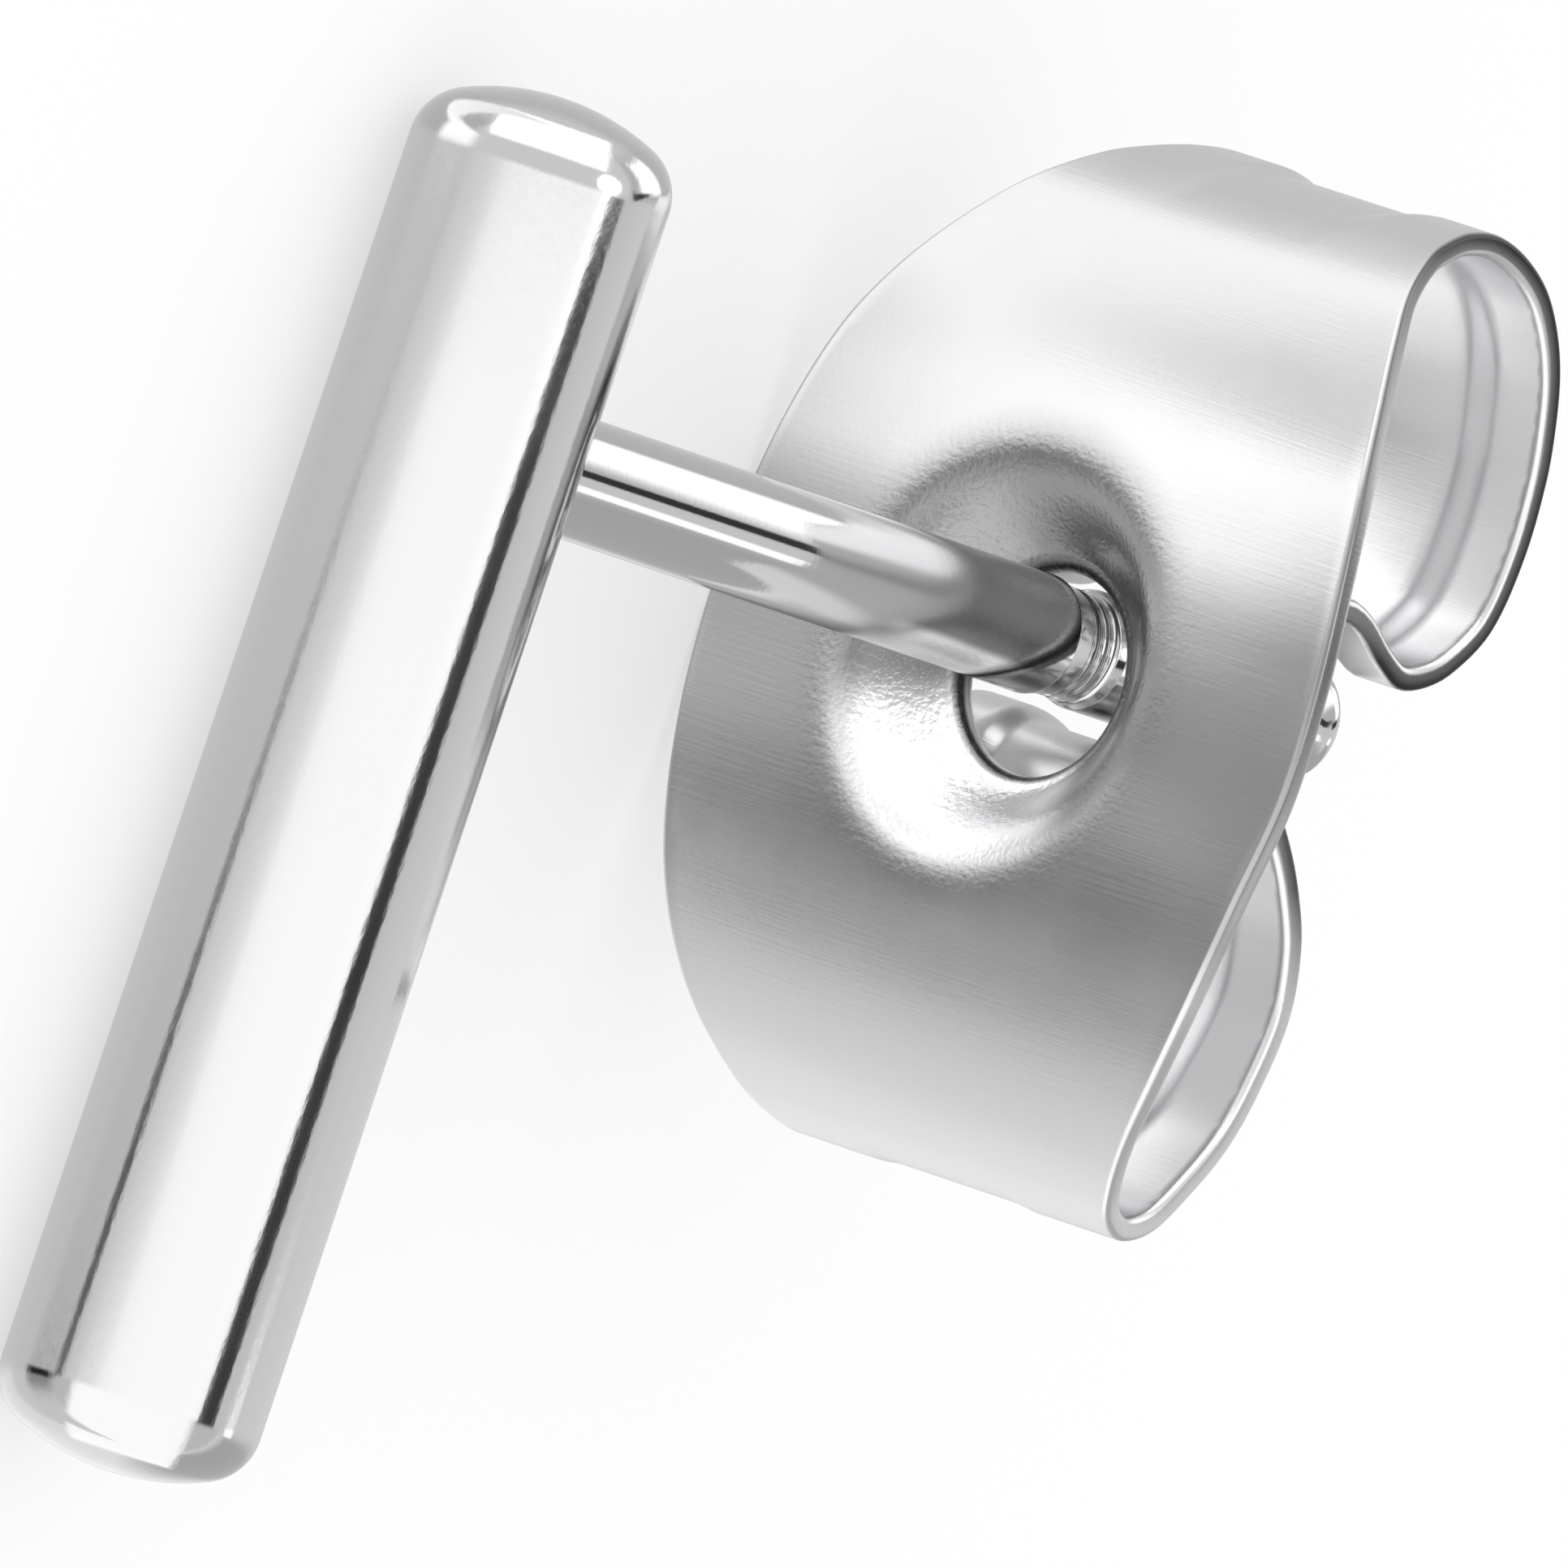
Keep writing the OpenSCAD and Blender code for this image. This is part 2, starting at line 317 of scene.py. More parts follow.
def ear_post():
    """The post: its profile turned about the way out from the bar."""
    grid = turned(post_profile(), POST_TURNS)
    return welded("ear_post", [grid[..., [1, 0, 2]]])


# The straight legs between stations, and how fast each station value changes along the path.
LEGS = np.hypot(*np.diff(STATIONS[:, :2], axis=0).T)
SLOPES = np.empty_like(STATIONS)
SLOPES[0] = (STATIONS[1] - STATIONS[0]) / LEGS[0]
SLOPES[-1] = (STATIONS[-1] - STATIONS[-2]) / LEGS[-1]
SLOPES[1:-1] = (STATIONS[2:] - STATIONS[:-2]) / (LEGS[1:] + LEGS[:-1])[:, None]


def path_rows(place):
    """Station values at a place counted in rows, and the way the path runs there.

    Between two stations a cubic joins their values and keeps their slopes.
    """
    row = np.minimum(np.floor(place).astype(int), LAST - 1)
    q = (place - row)[..., None]
    leg = LEGS[row][..., None]
    start, stop = STATIONS[row], STATIONS[row + 1]
    leave, arrive = SLOPES[row] * leg, SLOPES[row + 1] * leg
    values = (
        start * (2 * q ** 3 - 3 * q ** 2 + 1) + leave * (q ** 3 - 2 * q ** 2 + q)
        + stop * (3 * q ** 2 - 2 * q ** 3) + arrive * (q ** 3 - q ** 2)
    )
    run = (
        (start - stop) * (6 * q ** 2 - 6 * q) + leave * (3 * q ** 2 - 4 * q + 1)
        + arrive * (3 * q ** 2 - 2 * q)
    )
    run = run[..., :2] / np.linalg.norm(run[..., :2], axis=-1, keepdims=True)
    return values, run


def sheet_points(place, side, deep):
    """Point of the sheet: the path's place, moved along its outward side by the crown less the groove and
    the depth, with the dimple sunk into the plate by an eased share of its distance from the hole."""
    row, run = path_rows(place)
    face_out, face_up = run[..., 1], -run[..., 0]
    half = row[..., HALF]
    crown = row[..., BACK] * (1 - (side / half) ** 2)
    groove = row[..., PRESS] * ease((GROOVE_REACH - np.abs(side)) / GROOVE_FLANK)
    shift = crown - groove
    reach = np.hypot(row[..., UP] + face_up * shift - HOLE_RISE, side)
    sunk = np.clip((DIMPLE_RADIUS - reach) / (DIMPLE_RADIUS - DIMPLE_FLOOR), 0, 1)
    sink = DIMPLE_DEPTH * ease(sunk ** DIMPLE_FLARE)
    out = row[..., OUT] + face_out * (shift - deep) + np.where(half > PLATE_HALF, sink, 0)
    up = row[..., UP] + face_up * (shift - deep)
    return np.stack([CLUTCH_DROP - up, out, side], axis=-1)


# Rounding of the sheared edge on its outer and inner sides, and of the hole's lip on its outer side.
OUTER_ROUND = 0.04
EDGE_ROUND = 0.055
LIP_ROUND = 0.1
# How finely the sheet is divided: along it, across it, out from the hole and round its edges.
ROW_STEP = 0.07
STEPS_A_STATION = 60
FLANK_COLUMNS = 9
FLOOR_COLUMNS = 13
RIM_COLUMNS = 15
SPOKE_POINTS = 44
SPOKE_CROWDING = 1.25
OUTLINE_STEPS = 5
LIP_STEPS = 6
# Places are looked up by their height from this many, taken this many rows past the spokes' stretch.
WINDOW_PLACES = 3000
WINDOW_MARGIN = 0.5
# Painted shade on the sheared edge: how dark it is painted, by the place along the sheet and by the way
# through it. The hole's lip has one painted dark ring and a faint painted shade inside it.
PAINTED_SHADE_PLACES = [0, 7, 8, 22.5, 24, 28, 29.5, 31, 42, 44, 48, 51]
PAINTED_SHADE_SHARES = [0.6, 0.8, 1.0, 1.0, 0.8, 0.7, 0.35, 0.1, 0.1, 0.9, 0.9, 0.6]
OUTLINE_PAINTED_SHADE = ([0, 0.04, 0.1, 0.62, 0.78, 1], [0, 0.6, 1, 1, 0, 0])
LIP_PAINTED_SHADE = ([0, 0.03, 0.12, 0.3, 0.45, 1], [0, 0.2, 1, 1, 0.15, 0.15])
# How far out from the hole the dimple's grain shows, and how far along the post the plate reaches.
GRAIN_REACH = 1.75
GRAIN_FADE = 0.6
TABS_NEAR = 6.15
# How bright the sheet's metal is painted: as rolled, with painted shade in a belt at the hole's height and in
# the dimple, with a painted highlight on part of the dimple's wall, and on the inner face.
PLAIN_STEEL = 0.63
BELT_PAINTED_SHADE = 0.4
DIMPLE_PAINTED_SHADE = 0.33
PAINTED_HIGHLIGHT_LEVEL = 0.95
INNER_STEEL = 0.85
# Where those are, by height, by distance from the hole and by degrees round it, and how softly each ends.
BELT_RISE = (-1.7, 0.6, 0.6)
DIMPLE_SHADE_REACH = 1.7
DIMPLE_SHADE_FADE = 0.5
PAINTED_HIGHLIGHT_SPOKES = (-156, -46, 24)
PAINTED_HIGHLIGHT_REACH = 1.45
PAINTED_HIGHLIGHT_FADE = 0.28


def plate_painted_light(side, up):
    """Plate's painted level: even, painted shade in a belt and the dimple, a painted highlight on part of its
    wall.
    """
    reach = np.hypot(up - HOLE_RISE, side)
    spoke = np.degrees(np.arctan2(up - HOLE_RISE, side))
    level = toward(PLAIN_STEEL, BELT_PAINTED_SHADE, window(up, *BELT_RISE))
    level = toward(level, DIMPLE_PAINTED_SHADE, ease((DIMPLE_SHADE_REACH - reach) / DIMPLE_SHADE_FADE))
    painted_highlight = window(spoke, *PAINTED_HIGHLIGHT_SPOKES) * ease((PAINTED_HIGHLIGHT_REACH - reach) / PAINTED_HIGHLIGHT_FADE)
    return toward(level, PAINTED_HIGHLIGHT_LEVEL, painted_highlight)


def places_between(start, stop):
    """Places from one station to another, evenly spaced along the path."""
    fine = np.linspace(start, stop, STEPS_A_STATION * (stop - start) + 1)
    ends = path_rows(fine)[0][:, :2]
    length = np.concatenate([[0], np.cumsum(np.hypot(*np.diff(ends, axis=0).T))])
    even = np.linspace(0, length[-1], math.ceil(length[-1] / ROW_STEP) + 1)
    return np.interp(even, length, fine)


def columns_at(place):
    """Sideways places across the sheet at each row: close on the groove's sides, and even elsewhere."""
    edge = path_rows(place)[0][..., HALF] - EDGE_ROUND
    flank = np.linspace(GROOVE_REACH - GROOVE_FLANK, GROOVE_REACH, FLANK_COLUMNS)
    floor = (GROOVE_REACH - GROOVE_FLANK) * np.linspace(-1, 1, FLOOR_COLUMNS)[1:-1]
    inner = np.concatenate([-flank[::-1], floor, flank])
    outer = GROOVE_REACH + (edge[..., None] - GROOVE_REACH) * np.linspace(0, 1, RIM_COLUMNS)[1:]
    middle = np.broadcast_to(inner, (*edge.shape, len(inner)))
    return np.concatenate([-outer[..., ::-1], middle, outer], axis=-1)


def rows_across(down):
    """A stretch of the sheet as a grid: its places along the path, each with its sideways places."""
    across = columns_at(down)
    return np.broadcast_to(down[:, None], across.shape), across


def window_grid():
    """The plate round the hole: straight spokes from the hole's lip to the border of its stretch."""
    down = places_between(WINDOW_TOP, WINDOW_BOTTOM)
    edge = path_rows(down)[0][:, HALF] - EDGE_ROUND
    top = columns_at(np.array([float(WINDOW_TOP)]))[0]
    bottom = columns_at(np.array([float(WINDOW_BOTTOM)]))[0]
    border_place = np.concatenate([
        np.full(len(top), float(WINDOW_TOP)), down[1:-1], np.full(len(bottom), float(WINDOW_BOTTOM)),
        down[::-1][1:],
    ])
    border_side = np.concatenate([top, edge[1:-1], bottom[::-1], -edge[::-1][1:]])
    border_up = path_rows(border_place)[0][:, UP]
    spoke = np.arctan2(border_up - HOLE_RISE, border_side)
    lip = HOLE_RADIUS + LIP_ROUND
    share = (np.linspace(0, 1, SPOKE_POINTS) ** SPOKE_CROWDING)[:, None]
    up = HOLE_RISE + lip * np.sin(spoke)
    up = up + (border_up - up) * share
    side = lip * np.cos(spoke)
    side = side + (border_side - side) * share
    fine = np.linspace(WINDOW_TOP - WINDOW_MARGIN, WINDOW_BOTTOM + WINDOW_MARGIN, WINDOW_PLACES)
    rise = path_rows(fine)[0][:, UP]
    place = np.interp(up, rise[::-1], fine[::-1])
    place[-1] = border_place
    side[-1] = border_side
    return place, side, spoke


def edge_strip(outer, inner, away, profile):
    """Cut edge between two faces: at each step a share of the way through, pushed out by a distance."""
    push = profile[:, 0][:, None, None]
    through = profile[:, 1][:, None, None]
    return outer + (inner - outer) * through + away * push


def rounded_edge(first, second, steps):
    """Edge profile of (push, share through): a rounded corner, a flat wall and another rounded corner."""
    reach = max(first, second)
    opening = arc((reach - first, first), first, -90, 0, steps)
    closing = arc((reach - second, SHEET - second), second, 0, 90, steps)
    return np.concatenate([[[0, 0]], opening, closing, [[0, SHEET]]]) / [1, SHEET]


def outline_ring(upper, down, lower):
    """The sheet's outline once round: its places, its sideways places and the way its cut edge faces."""
    every = np.concatenate([upper, down[1:-1], lower])
    edge = path_rows(every)[0][:, HALF] - EDGE_ROUND
    start_row = columns_at(upper[:1])[0]
    last_row = columns_at(lower[-1:])[0]
    place = np.concatenate([
        every, np.full(len(last_row) - 2, every[-1]), every[::-1], np.full(len(start_row) - 1, every[0]),
    ])
    side = np.concatenate([edge, last_row[::-1][1:-1], -edge[::-1], start_row[1:]])
    run = path_rows(place)[1]
    count = len(every)
    back = count + len(last_row) - 2
    sideways = np.zeros(len(place))
    sideways[:count] = 1
    sideways[back:back + count] = -1
    sideways[-1] = 1
    endways = np.zeros(len(place))
    endways[count - 1:back + 1] = 1
    endways[back + count - 1:] = -1
    endways[0] = -1
    return place, side, np.stack([-run[:, 1] * endways, run[:, 0] * endways, sideways], axis=-1)


def flat_places(place, side):
    """Where points are on the sheet before it is bent, for the lines that follow it."""
    return np.stack([place, side, np.zeros_like(side)], axis=-1)


def painted_sheet(patches, outline_painted_shade, lip_painted_shade):
    """What is painted on the sheet: the grain beside the hole, painted shade on the cut edge, and the metal's
    brightness with painted shade and a painted highlight.

    The faces come in pairs, outer and then inner, and the outline's edge and the lip are last.
    """
    faces = patches[:-2]
    faces_painted_shade = [np.zeros(patch.size // 3) for patch in faces]
    # Painted shade: how dark the colour is painted on the cut edge and the hole's lip; the faces get none.
    painted_edge_shade = np.concatenate([*faces_painted_shade, outline_painted_shade.ravel(), lip_painted_shade.ravel()])
    local = np.concatenate([patch.reshape(-1, 3) for patch in patches])
    on_plate = local[:, 1] < TABS_NEAR
    reach = np.hypot(local[:, 0] + HOLE_RISE, local[:, 2])
    beside_hole = ease((GRAIN_REACH - reach) / GRAIN_FADE) * on_plate
    inner_faces = [np.full(patch.size // 3, index % 2) for index, patch in enumerate(faces)]
    inner = np.concatenate([*inner_faces, *[np.zeros(patch.size // 3) for patch in patches[-2:]]])
    # Painted light and shade: the plate's painted level, the tabs at the plain level, the inner face
    # brighter.
    bright = np.where(on_plate, plate_painted_light(local[:, 2], CLUTCH_DROP - local[:, 0]), PLAIN_STEEL)
    bright = toward(bright, INNER_STEEL, inner)
    return {
        "beside_hole": beside_hole[:, None],
        "painted_edge_shade": painted_edge_shade[:, None],
        "brightness": bright[:, None],
    }


def butterfly_clutch():
    """The bent sheet: both faces as grids along the path, spokes round the hole, and rounded cut edges."""
    upper = places_between(0, WINDOW_TOP)
    lower = places_between(WINDOW_BOTTOM, LAST)
    down = places_between(WINDOW_TOP, WINDOW_BOTTOM)
    window_place, window_side, spoke = window_grid()
    grids = [rows_across(upper), (window_place, window_side), rows_across(lower)]
    patches = [sheet_points(place, side, deep) for place, side in grids for deep in (0.0, SHEET)]
    on_sheet = [flat_places(place, side) for place, side in grids for _ in range(2)]
    ring_place, ring_side, away = outline_ring(upper, down, lower)
    inwards = np.stack([np.sin(spoke), 0 * spoke, -np.cos(spoke)], axis=-1)
    outline = rounded_edge(OUTER_ROUND, EDGE_ROUND, OUTLINE_STEPS)
    lip = rounded_edge(LIP_ROUND, EDGE_ROUND, LIP_STEPS)
    edges = [(ring_place, ring_side, away, outline), (window_place[0], window_side[0], inwards, lip)]
    for place, side, way, profile in edges:
        outer, inner = [sheet_points(place, side, deep) for deep in (0.0, SHEET)]
        patches.append(edge_strip(outer, inner, way, profile))
        on_sheet.append(np.broadcast_to(flat_places(place, side), patches[-1].shape))
    # Painted shade on the cut edge by place and by the way through it, and the lip's painted dark ring.
    along_painted_shade = np.interp(ring_place, PAINTED_SHADE_PLACES, PAINTED_SHADE_SHARES)
    outline_painted_shade = along_painted_shade * np.interp(outline[:, 1], *OUTLINE_PAINTED_SHADE)[:, None]
    lip_painted_shade = np.interp(lip[:, 1], *LIP_PAINTED_SHADE)[:, None] * np.ones(len(spoke))
    extra = {"on_sheet": np.concatenate([part.reshape(-1, 3) for part in on_sheet])}
    extra.update(painted_sheet(patches, outline_painted_shade, lip_painted_shade))
    return welded("butterfly_sheet", patches, extra)


def shader(name):
    """A new material with its Principled shader and a helper that adds and links nodes."""
    material = bpy.data.materials.new(name)
    material.use_nodes = True
    tree = material.node_tree
    principled = tree.nodes["Principled BSDF"]

    def add(kind, links=(), **settings):
        node = tree.nodes.new(kind)
        for key, value in settings.items():
            if key in node.inputs:
                node.inputs[key].default_value = value
            else:
                setattr(node, key, value)
        for socket, source in dict(links).items():
            tree.links.new(source, node.inputs[socket])
        return node

    return material, tree, principled, add


# Polished steel: its colour, the noise's scales to a metre and its stretch along the bar, and how far
# the roughness varies. Then how deep the grain is, in metres, and how rough each piece is.
MIRROR_COLOUR = (0.56, 0.56, 0.565, 1)
MIRROR_GRAIN = 26000
MIRROR_CLOUDS = 2600
MIRROR_STRETCH = (0.35, 1, 1)
LEAST_ROUGH = 0.7
MOST_ROUGH = 1.4
BAR_GRAIN = 6e-7
BAR_ROUGHNESS = 0.1
POST_GRAIN = 2e-7
POST_ROUGHNESS = 0.07


def polished_steel(name, grain, roughness):
    """Mirror-polished steel: a fine grain drawn out along the bar, and a gloss that varies softly."""
    material, tree, steel, add = shader(name)
    steel.inputs["Base Color"].default_value = MIRROR_COLOUR
    steel.inputs["Metallic"].default_value = 1
    place = add("ShaderNodeTexCoord").outputs["Object"]
    drawn = add("ShaderNodeMapping", {"Vector": place}, Scale=MIRROR_STRETCH).outputs["Vector"]
    fine = add("ShaderNodeTexNoise", {"Vector": drawn}, Scale=MIRROR_GRAIN, Detail=2)
    broad = add("ShaderNodeTexNoise", {"Vector": drawn}, Scale=MIRROR_CLOUDS, Detail=3)
    rough = add(
        "ShaderNodeMapRange", {"Value": broad.outputs["Fac"]},
        **{"To Min": roughness * LEAST_ROUGH, "To Max": roughness * MOST_ROUGH},
    )
    tree.links.new(rough.outputs["Result"], steel.inputs["Roughness"])
    bump = add("ShaderNodeBump", {"Height": fine.outputs["Fac"]}, Strength=1.0, Distance=grain)
    tree.links.new(bump.outputs["Normal"], steel.inputs["Normal"])
    return material


# Satin sheet: the metal at full brightness, the painted shade of its sheared edge, the scales of its lines,
# grain and mottle, its roughness, how deep the lines and grain are, and the grain's share on the plain sheet
# and beside the hole.
SATIN_COLOUR = (0.99, 0.99, 1, 1)
NO_LIGHT = (0, 0, 0, 1)
PAINTED_EDGE_SHADE_COLOUR = (0.035, 0.035, 0.037, 1)
LINES_SCALE = (30, 1.2, 1)
SATIN_GRAIN = 24000
SATIN_MOTTLE = 1500
SATIN_ROUGHNESS = (0.25, 0.34)
LINES_DEPTH = 1.0e-6
GRAIN_DEPTH = 3.0e-6
GRAIN_SHARES = (0.2, 2.2)


def satin_steel(name):
    """Satin sheet: painted light and shade in its colour, fine lines across it, a soft mottle, and a stronger
    grain where the dimple was pressed.
    """
    material, tree, steel, add = shader(name)
    steel.inputs["Metallic"].default_value = 1
    place = add("ShaderNodeTexCoord").outputs["Object"]
    sheet = add("ShaderNodeAttribute", attribute_name="on_sheet").outputs["Vector"]
    beside = add("ShaderNodeAttribute", attribute_name="beside_hole").outputs["Fac"]
    # Painted shade on the cut edge and lip, and painted light and shade in the sheet's brightness.
    cut = add("ShaderNodeAttribute", attribute_name="painted_edge_shade").outputs["Fac"]
    bright = add("ShaderNodeAttribute", attribute_name="brightness").outputs["Fac"]
    painted_light_mix = add("ShaderNodeMix", data_type="RGBA")
    tree.links.new(bright, painted_light_mix.inputs[0])
    painted_light_mix.inputs[6].default_value = NO_LIGHT
    painted_light_mix.inputs[7].default_value = SATIN_COLOUR
    # Painted shade of the cut edge and lip laid over the sheet's colour.
    painted_edge_mix = add("ShaderNodeMix", data_type="RGBA")
    tree.links.new(cut, painted_edge_mix.inputs[0])
    tree.links.new(painted_light_mix.outputs[2], painted_edge_mix.inputs[6])
    painted_edge_mix.inputs[7].default_value = PAINTED_EDGE_SHADE_COLOUR
    tree.links.new(painted_edge_mix.outputs[2], steel.inputs["Base Color"])
    lines_place = add("ShaderNodeMapping", {"Vector": sheet}, Scale=LINES_SCALE).outputs["Vector"]
    lines = add("ShaderNodeTexNoise", {"Vector": lines_place}, Scale=1, Detail=3).outputs["Fac"]
    grain = add("ShaderNodeTexNoise", {"Vector": place}, Scale=SATIN_GRAIN, Detail=3).outputs["Fac"]
    mottle = add("ShaderNodeTexNoise", {"Vector": place}, Scale=SATIN_MOTTLE, Detail=2).outputs["Fac"]
    rough = add(
        "ShaderNodeMapRange", {"Value": mottle},
        **{"To Min": SATIN_ROUGHNESS[0], "To Max": SATIN_ROUGHNESS[1]},
    )
    tree.links.new(rough.outputs["Result"], steel.inputs["Roughness"])
    line_bump = add("ShaderNodeBump", {"Height": lines}, Strength=1.0, Distance=LINES_DEPTH)
    depth = add(
        "ShaderNodeMapRange", {"Value": beside},
        **{"To Min": GRAIN_SHARES[0], "To Max": GRAIN_SHARES[1]},
    )
    height = add("ShaderNodeMath", {0: grain, 1: depth.outputs["Result"]}, operation="MULTIPLY")
    bump = add(
        "ShaderNodeBump", {"Height": height.outputs[0], "Normal": line_bump.outputs["Normal"]},
        Strength=1.0, Distance=GRAIN_DEPTH,
    )
    tree.links.new(bump.outputs["Normal"], steel.inputs["Normal"])
    return material


# How bright the tent is round the bar, by the angle from the camera's side: the bar's stripes.
BAR_WAYS = [
    -180, -165, -150, -130, -72, -58, -42, -33, -25, -16,
    0, 42, 58, 80, 92, 103, 114, 140, 160, 180,
]
BAR_LIGHT = [
    0.55, 0.66, 0.78, 0.86, 0.88, 0.98, 1.14, 1.3, 1.55, 1.63,
    1.68, 1.68, 1.76, 0.9, 0.95, 0.97, 1.0, 0.95, 0.85, 0.55,
]
# In what follows, three numbers in round brackets are a patch's two ends and how softly it ends, in degrees.
# The tent's front, which the bar mirrors over most of its width.
FRONT_TURNS = (-68, 84, 8)
# The fine dark line on the bar's left, which grows stronger downwards.
LINE_TURNS = (-68.5, -61, 3)
LINE_HEIGHTS = [-3, 0, 1.5]
LINE_LIGHT = [0.1, 0.6, 0.9]
# What the clutch's plate mirrors, by height: bright above, dark just below the bar's level, and paler
# further down. Its two ends swing away to the left high up, and the right one steps out just above the bar.
PLATE_HEIGHTS = [-90, -45, -35, -28, -22, -15, -12.4, -11, -9, -7, -5.4, 4, 5, 8, 11, 25, 38, 90]
PLATE_LIGHT = [
    1.0, 0.93, 0.82, 0.6, 0.44, 0.4, 0.1, 0.0, 0.0,
    0.0, 0.82, 0.9, 1.3, 1.65, 1.75, 1.85, 1.6, 1.3,
]
PLATE_LEFT = -100
PLATE_RIGHT = -70
PLATE_SOFT = 12
SWING_FROM = 25
SWING_OVER = 12
LEFT_SWING = 40
RIGHT_SWING = 36
STEP_FROM = 4
STEP_OVER = 3
STEP_OUT = 8
# The far side of the tent above, by height: the top of the clutch and the bar's rim.
FAR_HEIGHTS = [0, 45, 60]
FAR_LIGHT = [0.73, 0.73, 0.95]
# Above the bar: where that begins and how softly, away from the front and at it; a bright patch on the
# right; the front; and what the bar's upper corner mirrors.
ABOVE_FROM = 3
ABOVE_FADES = (10, 4)
HIGH_TURNS = (97, 132, 8)
HIGH_HEIGHTS = (16, 48, 6)
HIGH_LIGHT = 1.9
FRONT_ABOVE = 1.0
TOP_WAYS = (-25, 26, 4)
TOP_TILTS = (19.5, 52, 4)
TOP_LIGHT = 2.3
# Below the bar: where that begins and how softly, away from the front and at it; the rest; its right and
# left; the front; and the stripe that the bar's lower corner mirrors.
BELOW_FROM = -4
BELOW_FADES = (16, 6)
BELOW_LIGHT = 1.15
BELOW_RIGHT_TURNS = (90, 175, 16)
BELOW_RIGHT_LIGHT = 0.62
BELOW_LEFT_TURNS = (-125, -60, 16)
BELOW_LEFT_LIGHT = 0.95
FRONT_BELOW = 0.82
STRIPE_WAYS = (-24, 27, 4)
STRIPE_TILTS = (-62, 5, 5)
STRIPE_LIGHT = 1.7
# A bright strip on the right, just below the bar's level.
STRIP_TURNS = (90, 101, 2)
STRIP_HEIGHTS = (-13, -5, 1.5)
STRIP_LIGHT = 1.8
# A dark flag that makes the bar's black strip. It slants more past its bend, and before the bend its upper
# side is cut off.
FLAG_TURNS = (61, 77.5, 2.5)
FLAG_HEIGHTS = (-9, 17, 5)
FLAG_LIGHT = 0.05
FLAG_SLANT = 0.3
FLAG_MORE_SLANT = 1.85
FLAG_BEND_FROM = 84
FLAG_BEND_OVER = 6
FLAG_CUT_TURNS = (40, 86, 6)
FLAG_CUT_HEIGHTS = (-60, 4.3, 1.2)
# A round lamp above the flag.
LAMP_TURN = 60
LAMP_HEIGHT = 17
LAMP_STRETCH = 1.1
LAMP_REACH = (-20, 12, 3)
LAMP_LIGHT = 3.0


def facing_way(turn, height):
    """The way a surface faces that mirrors this part of the tent to the camera: halfway between the two."""
    aside = np.sin(np.radians(turn)) * np.cos(np.radians(height))
    facing = 1 + np.cos(np.radians(turn)) * np.cos(np.radians(height))
    way = np.degrees(np.arctan2(aside, facing))
    tilt = np.degrees(np.arctan2(np.sin(np.radians(height)), np.hypot(aside, facing)))
    return way, tilt


def tent_above(turn, height, front):
    """How bright the tent is above the bar's level."""
    way, tilt = facing_way(turn, height)
    level = np.interp(height, FAR_HEIGHTS, FAR_LIGHT)
    level = toward(level, HIGH_LIGHT, window(turn, *HIGH_TURNS) * window(height, *HIGH_HEIGHTS))
    level = toward(level, FRONT_ABOVE, front)
    return toward(level, TOP_LIGHT, window(way, *TOP_WAYS) * window(tilt, *TOP_TILTS))


def tent_below(turn, height, front):
    """How bright the tent is below the bar's level."""
    way, tilt = facing_way(turn, height)
    level = toward(BELOW_LIGHT, BELOW_RIGHT_LIGHT, window(turn, *BELOW_RIGHT_TURNS))
    level = toward(level, BELOW_LEFT_LIGHT, window(turn, *BELOW_LEFT_TURNS))
    level = toward(level, FRONT_BELOW, front)
    return toward(level, STRIPE_LIGHT, window(way, *STRIPE_WAYS) * window(tilt, *STRIPE_TILTS))


def tent_light(turn, height):
    """How bright the tent is, by the angle round the bar from the camera's side and the height along the bar.

    The bar's stripes come first, and each patch then draws the brightness toward its own.
    """
    front = window(turn, *FRONT_TURNS)
    level = np.interp(turn, BAR_WAYS, BAR_LIGHT)
    level = toward(level, np.interp(height, LINE_HEIGHTS, LINE_LIGHT), window(turn, *LINE_TURNS))
    level = toward(
        level, tent_above(turn, height, front), ease((height - ABOVE_FROM) / toward(*ABOVE_FADES, front))
    )
    level = toward(
        level, tent_below(turn, height, front), ease((BELOW_FROM - height) / toward(*BELOW_FADES, front))
    )
    swing = ease((height - SWING_FROM) / SWING_OVER)
    left = PLATE_LEFT - LEFT_SWING * swing
    right = PLATE_RIGHT + STEP_OUT * ease((height - STEP_FROM) / STEP_OVER) - RIGHT_SWING * swing
    plate = np.interp(height, PLATE_HEIGHTS, PLATE_LIGHT)
    level = toward(level, plate, window(turn, left, right, PLATE_SOFT))
    level = toward(level, STRIP_LIGHT, window(turn, *STRIP_TURNS) * window(height, *STRIP_HEIGHTS))
    slant = FLAG_SLANT + FLAG_MORE_SLANT * ease((turn - FLAG_BEND_FROM) / FLAG_BEND_OVER)
    flag = window(turn - slant * height, *FLAG_TURNS) * window(height, *FLAG_HEIGHTS)
    flag = flag * (1 - window(turn, *FLAG_CUT_TURNS) * (1 - window(height, *FLAG_CUT_HEIGHTS)))
    level = toward(level, FLAG_LIGHT, flag)
    lamp_reach = np.hypot(turn - LAMP_TURN, (height - LAMP_HEIGHT) / LAMP_STRETCH)
    return toward(level, LAMP_LIGHT, window(lamp_reach, *LAMP_REACH))


# The tent's radius in millimetres and its grid, and the floor and the sky.
TENT_RADIUS = 60.0
TENT_COLUMNS = 721
TENT_ROWS = 361
FLOOR_SIZE = 2.0
FLOOR_SHADE = 0.95
FLOOR_GLOW = 0.45
SKY_LEVEL = 1.06


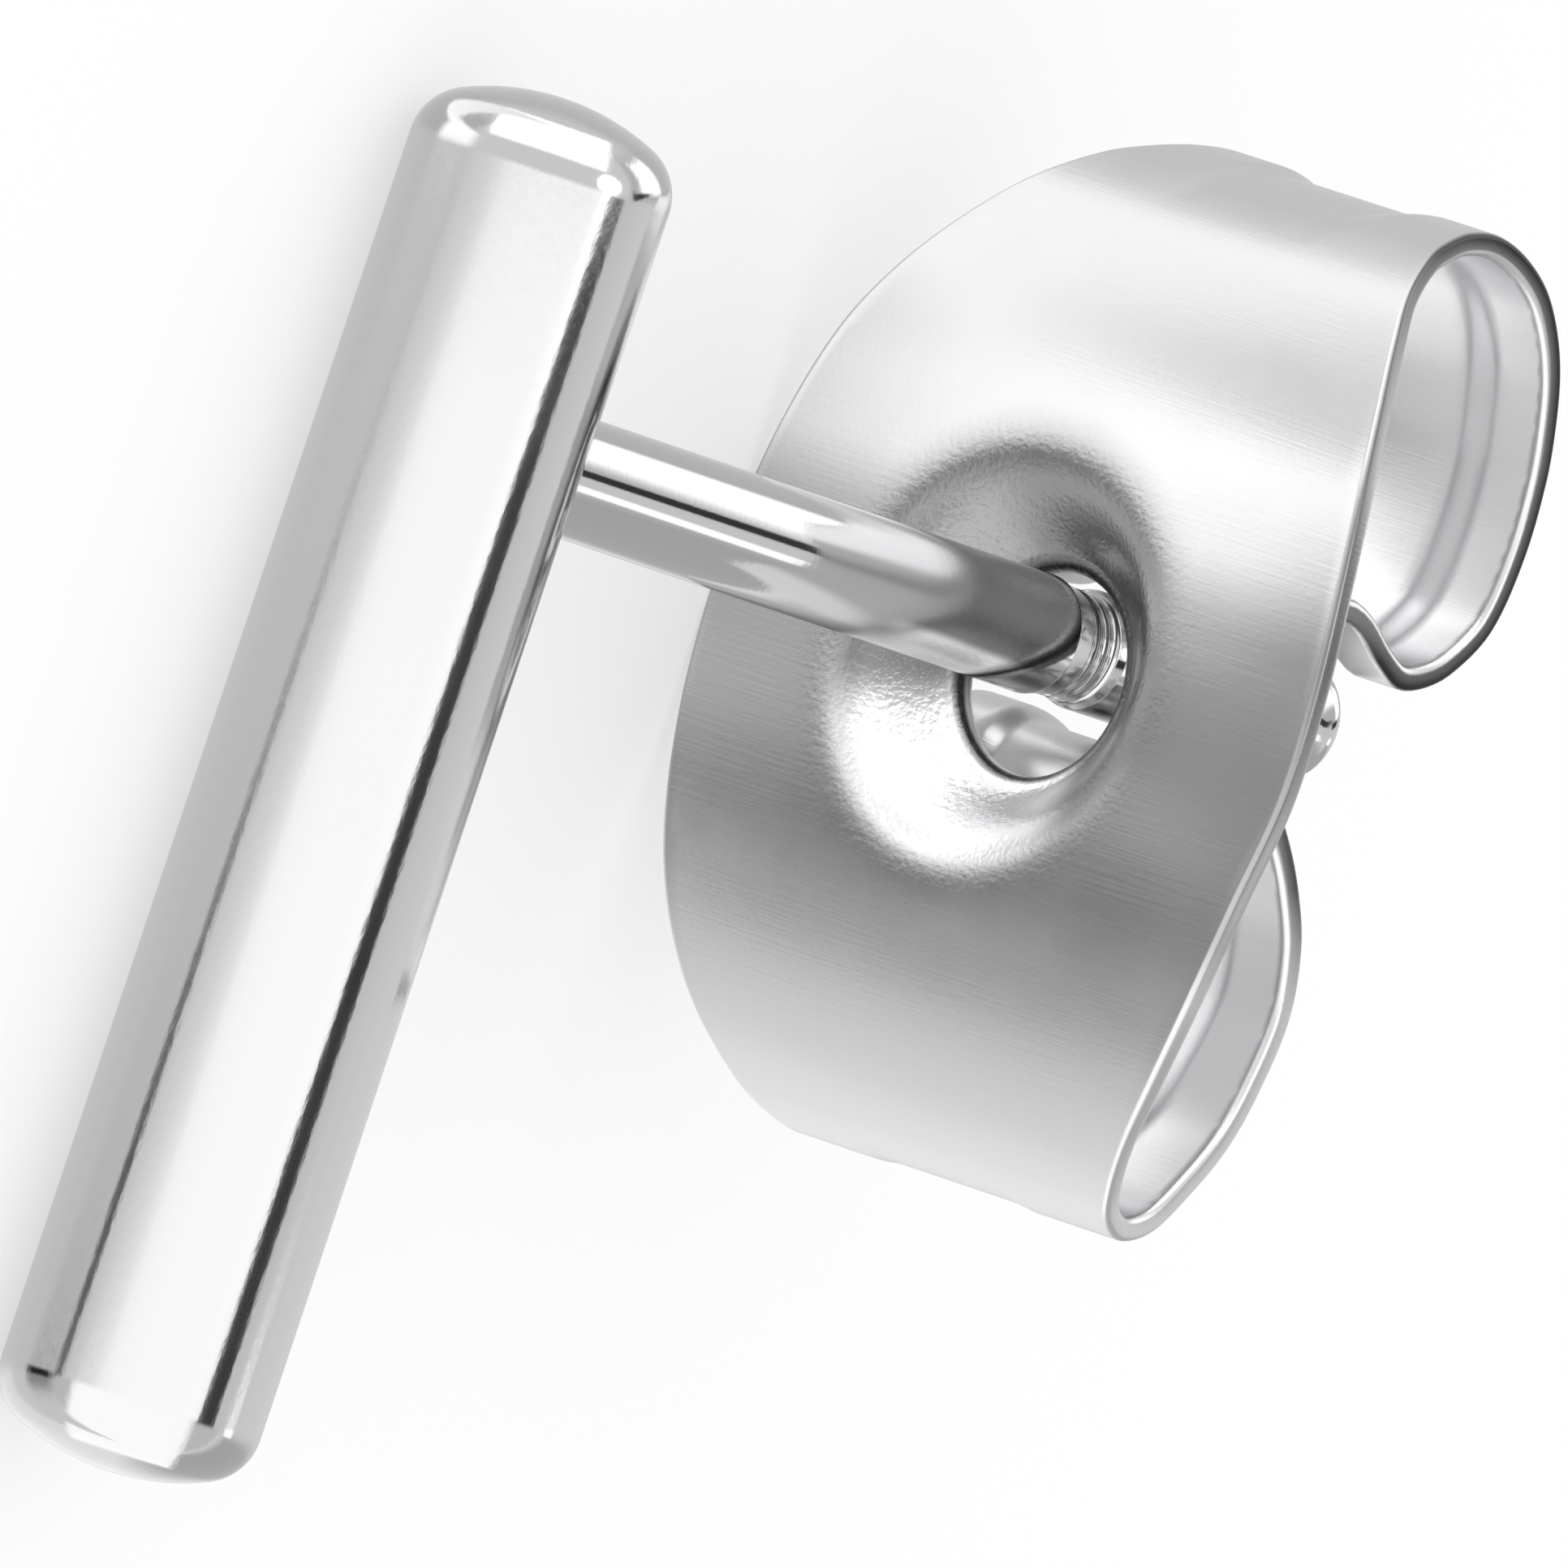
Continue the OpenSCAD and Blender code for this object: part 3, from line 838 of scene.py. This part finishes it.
def light_tent():
    """A tent of soft panels, seen only as reflections: a sphere whose brightness follows its two angles."""
    turn = np.radians(np.linspace(-180, 180, TENT_COLUMNS))
    height = np.radians(np.linspace(-90, 90, TENT_ROWS))
    turn, height = np.meshgrid(turn, height)
    ways = (
        np.sin(turn)[..., None] * np.cos(height)[..., None] * SIDEWAYS
        + np.sin(height)[..., None] * BARWARD
        - np.cos(turn)[..., None] * np.cos(height)[..., None] * FORWARD
    )
    points = (ways * TENT_RADIUS).reshape(-1, 3) * MM
    rows, columns = turn.shape
    corner = np.arange(rows - 1)[:, None] * columns + np.arange(columns - 1)
    quads = np.stack([corner, corner + 1, corner + columns + 1, corner + columns], axis=-1).reshape(-1, 4)
    mesh = bpy.data.meshes.new("light_tent")
    mesh.from_pydata(points.tolist(), [], quads.tolist())
    level = tent_light(np.degrees(turn), np.degrees(height))
    mesh.attributes.new("level", "FLOAT", "POINT").data.foreach_set("value", level.astype(np.float32).ravel())
    tent = bpy.data.objects.new("light_tent", mesh)
    bpy.context.scene.collection.objects.link(tent)
    tent.visible_camera = False
    tent.visible_diffuse = False
    tent.visible_shadow = False
    tent.visible_transmission = False
    material = bpy.data.materials.new("tent_light")
    material.use_nodes = True
    tree = material.node_tree
    tree.nodes.clear()
    glow = tree.nodes.new("ShaderNodeEmission")
    level_node = tree.nodes.new("ShaderNodeAttribute")
    level_node.attribute_name = "level"
    out = tree.nodes.new("ShaderNodeOutputMaterial")
    tree.links.new(level_node.outputs["Fac"], glow.inputs["Strength"])
    tree.links.new(glow.outputs["Emission"], out.inputs["Surface"])
    material.cycles.emission_sampling = "NONE"
    mesh.materials.append(material)


def pale_floor():
    """A plain pale floor, part of whose light is its own so that shadows on it stay faint."""
    half = FLOOR_SIZE / 2
    corners = [(-half, -half, 0), (half, -half, 0), (half, half, 0), (-half, half, 0)]
    mesh = bpy.data.meshes.new("floor")
    mesh.from_pydata(corners, [], [(0, 1, 2, 3)])
    floor = bpy.data.objects.new("floor", mesh)
    bpy.context.scene.collection.objects.link(floor)
    floor.visible_glossy = False
    material, _, surface, _ = shader("pale_floor")
    surface.inputs["Base Color"].default_value = (FLOOR_SHADE * (1 - FLOOR_GLOW),) * 3 + (1,)
    surface.inputs["Roughness"].default_value = 1
    surface.inputs["Specular IOR Level"].default_value = 0
    surface.inputs["Emission Color"].default_value = (1, 1, 1, 1)
    surface.inputs["Emission Strength"].default_value = FLOOR_GLOW
    mesh.materials.append(material)


def soft_sky():
    """An even white sky that lights the floor and shows behind it, but isn't mirrored in the metal."""
    world = bpy.data.worlds.new("soft_sky")
    bpy.context.scene.world = world
    world.use_nodes = True
    world.node_tree.nodes["Background"].inputs["Strength"].default_value = SKY_LEVEL
    world.node_tree.nodes["Background"].inputs["Color"].default_value = (1, 1, 1, 1)
    world.cycles_visibility.glossy = False


make_camera()

bar = round_bar()
bar.data.materials.append(polished_steel("polished_bar", BAR_GRAIN, BAR_ROUGHNESS))
post = ear_post()
post.data.materials.append(polished_steel("polished_post", POST_GRAIN, POST_ROUGHNESS))
for piece in (bar, post):
    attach(piece, "stud")
    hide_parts("bar_with_post")

clutch = butterfly_clutch()
clutch.data.materials.append(satin_steel("satin_sheet"))
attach(clutch, "clutch")
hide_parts("butterfly_clutch")

pale_floor()
light_tent()
soft_sky()
bpy.context.scene.view_settings.view_transform = "Standard"
